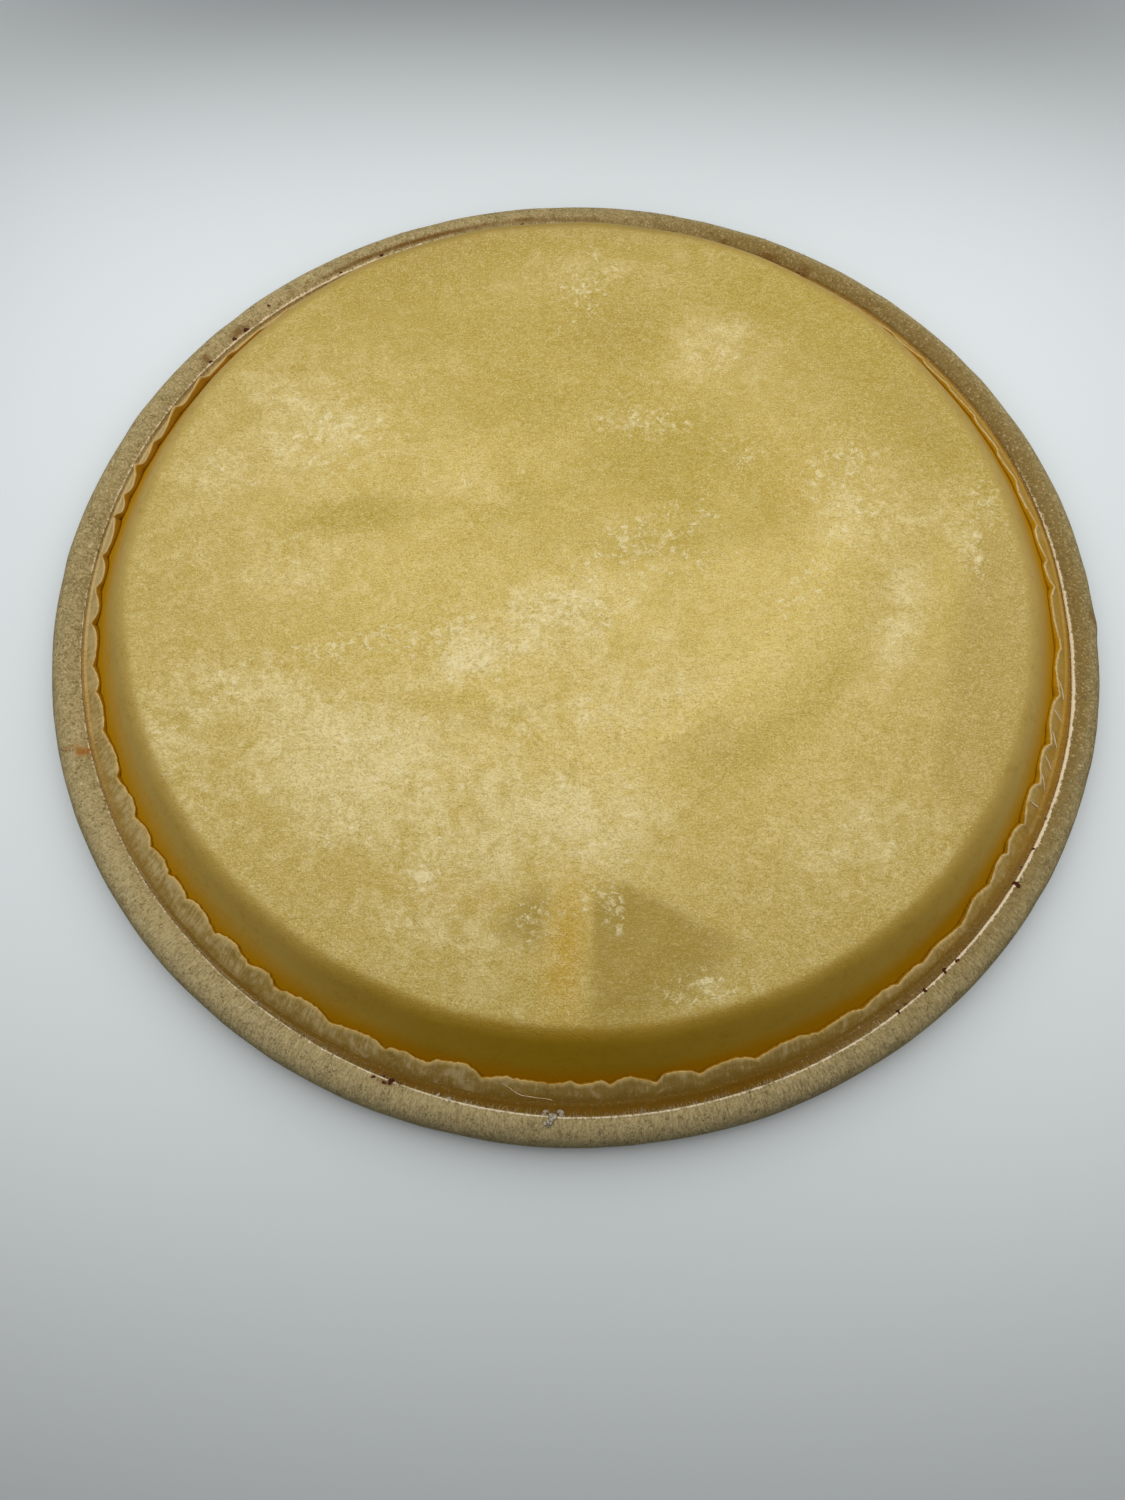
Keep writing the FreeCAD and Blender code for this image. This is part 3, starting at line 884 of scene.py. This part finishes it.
class Nodes:
    # a tree of nodes, which one method adds to

    def __init__(self, tree):
        self.tree = tree

    def plug(self, made, sockets):
        # plain values or links for a node's sockets
        for key, value in sockets.items():
            if isinstance(value, Sock):
                self.tree.links.new(value.socket, made.inputs[key])
            else:
                made.inputs[key].default_value = value

    def node(self, kind, settings, sockets, out=0):
        made = self.tree.nodes.new(kind)
        for key, value in settings.items():
            setattr(made, key, value)
        self.plug(made, sockets)
        return Sock(self, made.outputs[out])

    def cameraRay(self):
        # 1 where the camera looks straight at it, 0 for the light that it gives
        return self.node("ShaderNodeLightPath", {}, {}, "Is Camera Ray")


class Paint(Nodes):
    # one material

    def __init__(self, name):
        self.material = bpy.data.materials.new(name)
        self.material.use_nodes = True
        super().__init__(self.material.node_tree)
        self.shader = self.tree.nodes["Principled BSDF"]

    def place(self):
        return self.node("ShaderNodeTexCoord", {}, {}, "Object")

    def far(self, at):
        # distance from the origin
        return self.node("ShaderNodeVectorMath", {"operation": "LENGTH"}, {0: at}, "Value")

    def front(self, at):
        # 0 behind and 1 at the front of the rim
        return self.node("ShaderNodeSeparateXYZ", {}, {0: at}, 1).ease(-0.03, -0.13)

    def mask(self, name, out="Fac"):
        return self.node("ShaderNodeAttribute", {"attribute_name": name}, {}, out)

    def noise(self, vector, scale, detail=3.0, rough=0.55, warp=0.0):
        return self.node("ShaderNodeTexNoise", {}, {"Vector": vector, "Scale": scale, "Detail": detail,
                                                    "Roughness": rough, "Distortion": warp}, "Fac")

    def stretch(self, vector, scale):
        return self.node("ShaderNodeVectorMath", {"operation": "MULTIPLY"}, {0: vector, 1: scale})

    def curls(self, vector, scale, width, warp):
        # thin curly lines where a bent noise crosses its middle value
        off = (self.noise(vector, scale, 1, 0.5, warp) - 0.5).calc("ABSOLUTE")
        return off.ease(width, width * 0.3)

    def flakes(self, vector, scale, share):
        # soft round flakes, one to a Voronoi cell, kept where the cell's own number is under the share
        cells = {"Vector": vector, "Scale": scale}
        near = self.node("ShaderNodeTexVoronoi", {}, cells, "Distance")
        own = self.node("ShaderNodeTexVoronoi", {}, cells, "Color")
        number = self.node("ShaderNodeSeparateColor", {}, {0: own})
        return near.ease(0.7, 0.1) * (share - number).ease(0.0, 0.08)

    def tint(self, amount, under, over):
        # Mix in colour: factor 0, colours A and B are sockets 6 and 7, result is output 2
        def colour(c):
            return c if isinstance(c, Sock) else (*c, 1)
        sockets = {0: amount, 6: colour(under), 7: colour(over)}
        return self.node("ShaderNodeMix", {"data_type": "RGBA"}, sockets, 2)

    def coats(self, colour, layers):
        # colours laid over one another in order, each by its own amount
        for amount, over in layers:
            colour = self.tint(amount, colour, over)
        return colour

    def finish(self, colour, rough, bump, high, settings):
        normal = self.node("ShaderNodeBump", {}, {"Height": bump, "Distance": high, "Strength": 1.0})
        self.plug(self.shader, {"Base Color": colour, "Roughness": rough, "Normal": normal, **settings})
        return self.material


def shade(red, green, blue):
    # a screen colour, 0 to 255 each, as linear light
    c = np.array([red, green, blue]) / 255
    return tuple(np.where(c > 0.04045, ((c + 0.055) / 1.055) ** 2.4, c / 12.92).tolist())


playingColours = {
    "tan": shade(217, 191, 110),
    "tanDeep": shade(204, 179, 96),
    "rimShade": shade(186, 162, 86),
    "pale": shade(232, 213, 154),
    "dusk": shade(178, 151, 80),
    "farEdgeShade": shade(152, 128, 66),
    "olive": shade(181, 157, 67),
    "amber": shade(194, 153, 42),
    "fan": shade(156, 130, 52),
    "fibre": shade(240, 224, 168),
    "fleck": shade(240, 226, 178),
    "pore": shade(158, 128, 54),
    "ray": shade(222, 196, 114),
    "collarFrontShade": shade(154, 118, 0),
    "collarSideSheen": shade(184, 156, 84),
    "collarBrown": shade(128, 92, 14),
    "footGlowFront": shade(164, 114, 0),
    "footGlowSide": shade(186, 134, 0),
    "suedeDark": shade(186, 168, 128),
    "suedePale": shade(214, 200, 164),
}


def playingHide(c):
    # tan clouds, with painted shade towards the rim, under stains, rays, a pale veil and dusky fans that
    # are partly painted shade, then pores, fibres and flecks; the collar turns clear and dark below the
    # shoulder, with painted shade at the front and a painted sheen at the sides, down to an amber foot that
    # is partly a painted glow, and the underside is plain suede
    p = Paint("playing_hide")
    at = p.place()
    down, inside, side = p.mask("down"), p.mask("inside"), p.mask("collarSheenSide")
    pale, olive, fleck = p.mask("pale"), p.mask("olive"), p.mask("fleck")
    fan, dusk, farShade = p.mask("fan"), p.mask("dusk"), p.mask("farShade")
    cloud = p.noise(at, 18, 4, 0.6, 0.5)
    patchy = p.noise(at, 34, 5, 0.66, 0.9)
    blotch = p.noise(at, 60, 6, 0.72, 0.8)
    mottle = p.noise(at, 130, 5, 0.7, 0.9)
    clump = p.noise(at, 240, 4, 0.65, 0.4)
    speckle = p.noise(at, 700, 3, 0.62, 0.6)
    worm = p.noise(p.stretch(at, (0.5, 1.0, 1.0)), 1100, 2, 0.55, 1.8)
    grain = p.noise(at, 2100, 3, 0.7)
    jitter = p.node("ShaderNodeTexNoise", {}, {"Vector": at, "Scale": 500, "Detail": 2.0}, "Color")
    bent = p.node("ShaderNodeVectorMath", {"operation": "MULTIPLY_ADD"},
                  {0: jitter, 1: (0.0055, 0.0055, 0.0), 2: at})
    busy = pale * 0.8 - olive * 0.25 - dusk * 0.2 + 0.4
    unrest = (blotch - 0.5) * 1.8 + (patchy - 0.5) + (clump - 0.5) * 0.8
    veil = (pale * 0.75 + unrest * busy).ease(0.1, 0.85)
    stain = (olive * 0.95 - (blotch - 0.5) * 0.6 - (patchy - 0.5) * 0.7).ease(0.1, 0.9)
    crowd = fleck * (0.25 + clump) * 0.7 + veil * 0.12 + 0.02
    flecks = p.flakes(bent, 420, crowd).most(p.flakes(bent, 800, crowd * 1.3))
    flecks = flecks.most((fleck + clump).ease(1.5, 1.7))
    uneven = mottle + (speckle - 0.5) * 0.5
    calm = 1.0 - fan * 0.45
    ragged = down + (clump - 0.5) * 0.05 + (mottle - 0.5) * 0.05
    turn = ragged.ease(-0.02, 0.08) * 0.6 + ragged.ease(-0.09, 0.20) * 0.4
    early = side * side * 0.39
    foot = ((down + (clump - 0.5) * 0.10 - 0.40 + early) / (early + 0.19)).ease(0.0, 1.0)
    suede = p.tint((blotch * 0.6 + speckle * 0.4).ease(0.35, 0.65), c["suedeDark"], c["suedePale"])
    colour = p.coats(p.tint(cloud.ease(0.3, 0.7), c["tanDeep"], c["tan"]), [
        # painted shade: darker towards the rim, where the lamp's light falls off
        (p.far(at).ease(0.05, 0.14) * 0.8, c["rimShade"]),
        (stain * 0.9, c["olive"]),
        (p.mask("amber") * (0.5 + blotch) * 0.85, c["amber"]),
        (p.mask("ray") * (0.4 + blotch * 0.6), c["ray"]),
        (veil * 0.72, c["pale"]),
        # painted shade: the dusky fans and the far ovals darken the face
        (dusk.most(farShade) * (0.6 + mottle * 0.6), c["dusk"]),
        (uneven.ease(0.47, 0.66) * busy * 0.6, c["pale"]),
        (uneven.ease(0.50, 0.30) * busy * 0.5, c["olive"]),
        (fan * (0.85 + (blotch - 0.5) * 0.8), c["fan"]),
        (worm.ease(0.50, 0.30) * 0.38 * calm, c["pore"]),
        (worm.ease(0.50, 0.66) * (0.22 + veil * 0.30) * calm, c["fibre"]),
        (grain.ease(0.50, 0.30) * 0.6 * calm, c["pore"]),
        (grain.ease(0.52, 0.72) * 0.6 * calm, c["fibre"]),
        (flecks * (0.2 + speckle * 0.8), c["fleck"]),
        # the collar: painted shade at the front, partly its clearer tone, and a paler painted sheen at the
        # sides
        (turn * (0.94 + (grain - 0.5) * 0.3), p.tint(side, c["collarFrontShade"], c["collarSideSheen"])),
        (turn * (mottle * 0.6 + speckle * 0.4).ease(0.52, 0.32) * 0.3, c["collarBrown"]),
        # painted shade on the collar under the far ovals
        (turn * farShade * 0.7, c["farEdgeShade"]),
        # painted glow: the amber foot is partly the hide's own amber and partly a painted glow of light
        # coming through it, darker at the front as painted shade
        (foot, p.tint(side, c["footGlowFront"], c["footGlowSide"])),
        (inside, suede),
    ])
    rough = 0.50 + (grain - 0.5) * 0.3 + inside * 0.35
    bump = grain * 0.5 + worm * 0.7 + speckle * 0.4 + blotch * 0.7 + flecks * 0.3
    bump = bump * (0.2 + down.ease(0.2, 0.02) * 0.8)
    return p.finish(colour, rough, bump, 0.0004, {"Specular IOR Level": 0.06})


rimColours = {
    "dark": shade(136, 118, 74),
    "tan": shade(174, 154, 104),
    "pale": shade(208, 190, 144),
    "under": shade(116, 104, 68),
    "burnish": shade(128, 102, 42),
    "groove": shade(113, 80, 3),
    "grooveSide": shade(178, 134, 44),
    "gold": shade(158, 98, 14),
    "pit": shade(96, 78, 40),
    "foldShade": shade(112, 81, 10),
    "stain": shade(112, 74, 20),
    "tail": shade(160, 132, 66),
    "tailPale": shade(204, 182, 130),
    "tailClear": shade(181, 143, 50),
    "tailRoot": shade(138, 106, 34),
    "rootSide": shade(174, 134, 46),
    "webGlowFront": shade(160, 112, 0),
    "webGlowSide": shade(144, 98, 0),
    "webGlowClear": shade(184, 136, 0),
    "cut": shade(214, 182, 110),
    "cutClear": shade(222, 198, 146),
    "crest": shade(236, 218, 184),
    "rust": shade(92, 36, 14),
    "rustDark": shade(58, 24, 12),
    "scrap": shade(204, 194, 174),
    "scrapShade": shade(122, 104, 78),
    "fuzz": shade(230, 216, 182),
    "fuzzDark": shade(170, 150, 106),
    "strand": shade(240, 220, 186),
    "strandDark": shade(216, 190, 150),
}


def rollHide(c):
    # mottled tan with fibres across the roll, with painted shade below and burnished inside, with grit and
    # pits; then the groove's painted shade, the stains and the pale worn line
    p = Paint("rolled_hide")
    at, ring = p.place(), p.mask("ring", "Vector")
    front, upRoll = p.front(at), p.mask("upRoll")
    across = p.noise(p.stretch(ring, (1700, 1700, 380)), 1, 3, 0.65)
    streak = p.noise(p.stretch(ring, (2300, 2300, 560)), 1, 3, 0.75)
    mottle = p.noise(at, 95, 6, 0.72, 0.6)
    tuft = p.noise(at, 480, 4, 0.7, 0.8)
    speck = p.noise(at, 1600, 3, 0.65)
    grit = p.noise(at, 1150, 3, 0.8) * (1.0 - front * 0.8) + streak * front * 0.8
    fibre = across * (0.3 + front * 0.5) + tuft * (0.7 - front * 0.5)
    lightness = (p.mask("rollPale") - 0.5) * 0.12
    tone = mottle * 0.45 + fibre * 0.3 + speck * 0.25 + lightness
    rubbed = (upRoll + (mottle - 0.5) * 0.8).ease(0.7, 1.15) * (0.4 + speck * 0.9)
    blots = speck + mottle * 0.6
    worn = p.mask("crest") + (speck - 0.5) * 1.2 + (tuft - 0.5) * 1.6
    # painted shade in the groove, partly the hide's own brown: darkest at the front, paler at the sides
    floor = p.coats(p.tint(front, c["grooveSide"], c["groove"]), [
        (across.ease(0.52, 0.75) * 0.4, c["gold"]),
        (across.ease(0.48, 0.28) * 0.4, c["pit"]),
    ])
    colour = p.coats(p.tint(tone.ease(0.36, 0.62), c["dark"], c["tan"]), [
        ((fibre * 0.6 + speck * 0.4 + lightness).ease(0.46, 0.70) * 0.6, c["pale"]),
        (p.curls(at, 380, 0.03, 1.5) * 0.22, c["pale"]),
        # painted shade: darker towards the roll's underside
        ((upRoll + (mottle - 0.5) * 0.5).ease(0.65, 0.15) * 0.7, c["under"]),
        (p.mask("burnish") * rubbed, c["burnish"]),
        (grit.ease(0.50, 0.30) * 0.9, c["under"]),
        (grit.ease(0.52, 0.72) * 0.75, c["pale"]),
        ((speck * 0.5 + tuft * 0.5).ease(0.47, 0.33) * 0.8, c["pit"]),
        # the groove's painted shade
        (p.mask("groove") * p.mask("grooveShade"), floor),
        (p.mask("stain") * blots.ease(0.45, 0.85), c["stain"]),
        (p.mask("gold") * blots.ease(0.40, 0.80), c["gold"]),
        (worn.ease(0.25, 0.70), c["crest"]),
    ])
    bump = mottle * 0.4 + speck * 0.5 + fibre * 0.8
    return p.finish(colour, 0.75, bump, 0.00035, {"Specular IOR Level": 0.14})


def tailHide(c):
    # tan and pale hide with fibres up the tail, amber where it is clear, painted shade at its root, in its
    # notches and in the crease at the front, with patches and grit; then the cut lip and the clear web
    # behind it, painted bright amber as a painted glow
    p = Paint("tail_hide")
    at, ring = p.place(), p.mask("ring", "Vector")
    front, up, clear, pale = p.front(at), p.mask("up"), p.mask("clear"), p.mask("tailPale")
    across = p.noise(p.stretch(ring, (1200, 1200, 260)), 1, 3, 0.6)
    patch = p.noise(at, 130, 4, 0.65, 0.6)
    mottle = p.noise(at, 240, 5, 0.68, 0.6)
    speck = p.noise(at, 1500, 3, 0.6)
    grit = p.noise(at, 2000, 3, 0.75)
    tone = across * 0.45 + mottle * 0.4 + speck * 0.15 + (pale - 0.4) * 0.25
    amber = p.tint((across * 0.5 + mottle * 0.5).ease(0.54, 0.72) * 0.7, c["tailClear"], c["tailPale"])
    # painted shade for the tail's root, darker at the front
    root = p.tint(front, c["rootSide"], c["tailRoot"])
    low = (up + (mottle - 0.5) * 0.5).ease(0.55, 0.05)
    cut = (mottle * 0.6 + across * 0.4).ease(0.30, 0.58)
    lip = p.tint(clear, c["cut"], c["cutClear"])
    # painted glow: the web in the crevice behind the lip is painted amber, as light through the thin hide,
    # where it would lie in shade
    web = p.tint(front, p.tint(clear, c["webGlowSide"], c["webGlowClear"]), c["webGlowFront"])
    colour = p.coats(p.tint(tone.ease(0.42, 0.64), c["tail"], c["tailPale"]), [
        (clear * 0.85, amber),
        # painted shade at the root, less where the tail is pale
        (low * (1.0 - pale * 0.9), root),
        # painted shade in the notches
        (p.mask("across").ease(0.72, 1.0) * up * 0.3, root),
        (patch.ease(0.53, 0.70) * (0.25 + front * 0.45), c["tailPale"]),
        (patch.ease(0.47, 0.30) * (0.15 + front * 0.5), c["tailRoot"]),
        # painted shade in the crease at the front
        ((up + (mottle - 0.5) * 0.04).ease(0.07, 0.0) * front, c["foldShade"]),
        (grit.ease(0.54, 0.72) * 0.4, c["tailPale"]),
        (grit.ease(0.48, 0.30) * 0.4, c["tailRoot"]),
        (p.mask("cutEdge") * cut * 0.85, lip),
        (p.mask("web"), web),
    ])
    bump = mottle * 0.4 + speck * 0.3 + across * 0.6
    return p.finish(colour, 0.6, bump, 0.00022, {"Specular IOR Level": 0.12})


def fibreHide(name, dark, light):
    # fibres that change between two tones in soft patches
    p = Paint(name)
    tone = p.noise(p.place(), 400, 2)
    colour = p.tint(tone.ease(0.3, 0.7), dark, light)
    return p.finish(colour, 0.8, tone, 0.00002, {"Specular IOR Level": 0.2})


def rustSpot(c):
    # flaked rust in two tones
    p = Paint("rust_spot")
    flake = p.noise(p.place(), 2200, 4, 0.65)
    colour = p.tint(flake.ease(0.4, 0.62), c["rustDark"], c["rust"])
    return p.finish(colour, 0.85, flake, 0.0001, {"Specular IOR Level": 0.2})


def tornScrap(c):
    # shredded hide, pale, with painted shade among its torn shreds
    p = Paint("torn_hide")
    shred = p.noise(p.place(), 1500, 5, 0.7, 1.0)
    colour = p.tint(shred.ease(0.38, 0.6), c["scrapShade"], c["scrap"])
    return p.finish(colour, 0.8, shred, 0.0004, {"Specular IOR Level": 0.2})


hoopColours = {
    "steel": (0.32, 0.31, 0.30),
    "rust": (0.20, 0.075, 0.025),
}


def hoopSteel(c):
    # dull steel that has rusted in patches
    p = Paint("hoop_steel")
    scale = p.noise(p.place(), 300, 5, 0.6)
    colour = p.tint(scale.ease(0.45, 0.65), c["steel"], c["rust"])
    return p.finish(colour, 0.45, scale, 0.0001, {"Metallic": 0.9})


face.data.materials.append(playingHide(playingColours))
roll.data.materials.append(rollHide(rimColours))
tail.data.materials.append(tailHide(rimColours))
fuzz.data.materials.append(fibreHide("hide_fibre", rimColours["fuzzDark"], rimColours["fuzz"]))
strands.data.materials.append(fibreHide("hide_strand", rimColours["strandDark"], rimColours["strand"]))
rust.data.materials.append(rustSpot(rimColours))
scrap.data.materials.append(tornScrap(rimColours))
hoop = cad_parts["flesh_hoop"]
hoop.data.materials.clear()
hoop.data.materials.append(hoopSteel(hoopColours))
print("finishes:", ", ".join(m.name for m in bpy.data.materials))


# Floor, light and camera

studio = {
    "floorSize": 6.0,
    "floorColour": shade(229, 235, 236),
    "floorHaze": 0.97,         # tone of its darker patches
    "floorRough": 0.6,
    "floorGlow": 0.85,         # the floor's own light, which only the camera sees
    "glowFrom": (0.29, 0.60),  # distances from the axis over which it comes in
    "lampSize": (0.62, 0.47),
    "lampPlace": (0.0, 0.021, 0.13),
    "lampPower": 1.04,
    "skyColour": (0.93, 0.97, 1.0),
    "sky": 0.05,
    "cameraPlace": (0.0, -0.1754, 0.3242),
    "pan": -1.32,
    "tilt": 68.65,
    "roll": 0.16,
    "lens": 27.04,
    "sensor": 36.0,
    "clipStart": 0.01,
}


def lookAlong(place, forward, upHint, roll):
    # right, up and back axes for a lamp or camera that looks along forward
    right = np.cross(forward, upHint)
    right = right / np.linalg.norm(right)
    up = np.cross(right, forward)
    turnedRight = right * np.cos(roll) + up * np.sin(roll)
    turnedUp = up * np.cos(roll) - right * np.sin(roll)
    m = np.eye(4)
    m[:3] = np.stack([turnedRight, turnedUp, -forward, place], 1)
    return Matrix(m.tolist())


def buildFloor(s):
    # a flat square at height 0 with a faint haze, which glows for the camera away from the head
    half = s["floorSize"] / 2
    corners = np.array([[-half, -half, 0], [half, -half, 0], [half, half, 0], [-half, half, 0]])
    floor = putMesh("floor", corners, [np.array([[0, 1, 2, 3]])], {}, False)
    p = Paint("pale_floor")
    at = p.place()
    hazy = tuple(c * s["floorHaze"] for c in s["floorColour"])
    glow = p.far(at).ease(*s["glowFrom"]) * p.cameraRay()
    p.plug(p.shader, {
        "Base Color": p.tint(p.noise(at, 3, 2, 0.5), s["floorColour"], hazy),
        "Roughness": s["floorRough"],
        "Emission Color": p.tint(glow, (0, 0, 0), s["floorColour"]),
        "Emission Strength": s["floorGlow"],
    })
    floor.data.materials.append(p.material)


def buildLamp(s):
    # one wide lamp over the head, facing the origin
    data = bpy.data.lights.new("lamp", "AREA")
    data.shape = "RECTANGLE"
    data.size, data.size_y = s["lampSize"]
    data.energy = s["lampPower"]
    lamp = bpy.data.objects.new("lamp", data)
    place = np.array(s["lampPlace"])
    lamp.matrix_world = lookAlong(place, -place / np.linalg.norm(place), np.array([0, 1.0, 0]), 0.0)
    lamp.visible_camera = False
    bpy.context.scene.collection.objects.link(lamp)


def buildSky(s):
    # a dim even sky for light, and in its place a backdrop of the floor's colour for the camera
    world = bpy.data.worlds.new("sky")
    world.use_nodes = True
    w = Nodes(world.node_tree)
    sky = w.tree.nodes["Background"]
    w.plug(sky, {"Color": (*s["skyColour"], 1), "Strength": s["sky"]})
    backdrop = w.node("ShaderNodeBackground", {}, {"Color": (*s["floorColour"], 1)})
    seen = w.node("ShaderNodeMixShader", {}, {0: w.cameraRay(), 1: Sock(w, sky.outputs[0]), 2: backdrop})
    w.plug(w.tree.nodes["World Output"], {"Surface": seen})
    bpy.context.scene.world = world


def buildCamera(s):
    # looks along y, turned by pan, tilted down and rolled
    data = bpy.data.cameras.new("camera")
    data.lens = s["lens"]
    data.sensor_width = s["sensor"]
    data.clip_start = s["clipStart"]
    camera = bpy.data.objects.new("camera", data)
    pan, tilt = np.radians(s["pan"]), np.radians(s["tilt"])
    forward = np.array([np.sin(pan) * np.cos(tilt), np.cos(pan) * np.cos(tilt), -np.sin(tilt)])
    camera.matrix_world = lookAlong(np.array(s["cameraPlace"]), forward, upward, np.radians(s["roll"]))
    bpy.context.scene.collection.objects.link(camera)
    bpy.context.scene.camera = camera


for build in (buildFloor, buildLamp, buildSky, buildCamera):
    build(studio)
bpy.context.scene.view_settings.view_transform = "Standard"
print("studio set")
